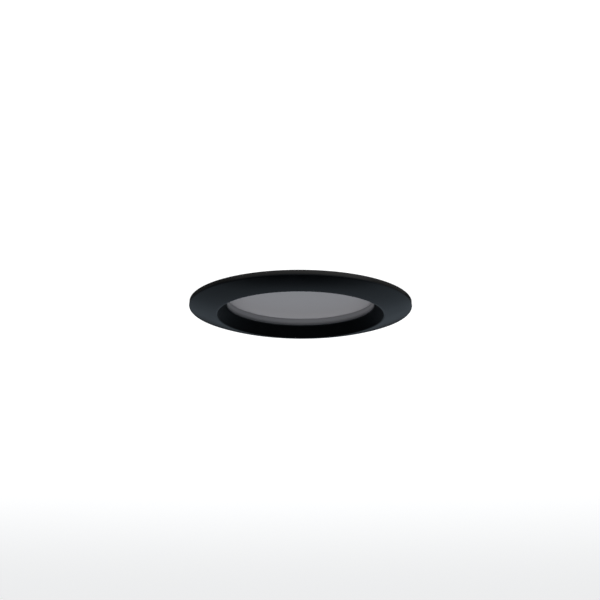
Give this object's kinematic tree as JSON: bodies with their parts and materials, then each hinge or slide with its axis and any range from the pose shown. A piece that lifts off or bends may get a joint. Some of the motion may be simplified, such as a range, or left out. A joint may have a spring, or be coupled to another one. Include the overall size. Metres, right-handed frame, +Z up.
{
  "type": "soffit downlight",
  "caption": "Round recessed downlight for a soffit: black domed trim with a set-back opal window, a finned can and sprung side clips.",
  "frame": {"origin": "centre of the flange's back, on the soffit's underside", "axes": "+Z up into the ceiling void, along the can; +X towards the right clip; the room is below, at -Z"},
  "size_m": [0.1184, 0.09, 0.0615],
  "materials": {
    "trim_powder_coat": "fine satin powder coat, black",
    "black_foam": "closed-cell foam",
    "black_rubber": "moulded rubber",
    "opal_window": "opal acrylic, satin, unlit",
    "white_plastic": "moulded white plastic",
    "white_board": "white solder mask over aluminium",
    "emitter": "yellow phosphor",
    "zinc_screw": "zinc plated",
    "thermal_pad": "soft silicone pad",
    "cast_aluminium": "die cast and shot blasted",
    "red_lead": "insulated lead",
    "black_lead": "insulated lead",
    "liner_plastic": "moulded insulating plastic",
    "green_laminate": "glass laminate with green mask",
    "black_nylon": "moulded nylon",
    "capacitor_sleeve": "shrunk sleeve",
    "ferrite": "ferrite",
    "zinc_sheet": "stamped sheet, zinc plated",
    "spring_steel": "drawn wire",
    "soft_sleeve": "dipped soft vinyl"
  },
  "bodies": {
    "fixture": {"bezel": "trim_powder_coat", "soffit_gasket": "black_foam", "diffuser_seal": "black_rubber", "diffuser": "opal_window", "reflector": "white_plastic", "led_board": "white_board", "led_packages": "emitter", "led_connector": "white_plastic", "led_board_screws": "zinc_screw", "thermal_pad": "thermal_pad", "heat_sink": "cast_aluminium", "bezel_screws": "zinc_screw", "lead_grommet": "black_rubber", "led_lead_positive": "red_lead", "led_lead_negative": "black_lead", "driver_liner": "liner_plastic", "driver_board": "green_laminate", "rectifier": "black_nylon", "smoothing_capacitor": "capacitor_sleeve", "power_inductor": "ferrite", "driver_ic": "black_nylon", "mains_terminal": "white_plastic", "terminal_screws": "zinc_screw", "rear_cover": "cast_aluminium", "rear_cover_seal": "black_rubber", "rear_cover_screws": "zinc_screw", "gland_washer": "black_rubber", "gland_body": "black_nylon", "gland_seal": "black_rubber", "gland_nut": "black_nylon", "gland_lock_nut": "black_nylon", "bracket_screws": "zinc_screw", "pin_retainers": "spring_steel", "right_clip_bracket": "zinc_sheet", "right_clip_pin": "spring_steel", "right_clip_spring": "spring_steel", "left_clip_bracket": "zinc_sheet", "left_clip_pin": "spring_steel", "left_clip_spring": "spring_steel"},
    "right_clip": {"right_clip_arm": "zinc_sheet", "right_clip_sleeve": "soft_sleeve"},
    "left_clip": {"left_clip_arm": "zinc_sheet", "left_clip_sleeve": "soft_sleeve"}
  },
  "joints": [
    {"name": "right_clip_swing", "type": "hinge", "parent": "fixture", "child": "right_clip", "pos_m": [0.03301, 0, 0.0135], "axis": [0, -1, 0], "range_deg": [0, 109], "stiffness_Nm_per_rad": 0.065, "springref_deg": -20.05, "deforming": ["right_clip_spring"]},
    {"name": "left_clip_swing", "type": "hinge", "parent": "fixture", "child": "left_clip", "pos_m": [-0.03301, 0, 0.0135], "axis": [0, 1, 0], "range_deg": [0, 109], "stiffness_Nm_per_rad": 0.065, "springref_deg": -20.05, "deforming": ["left_clip_spring"]}
  ]
}
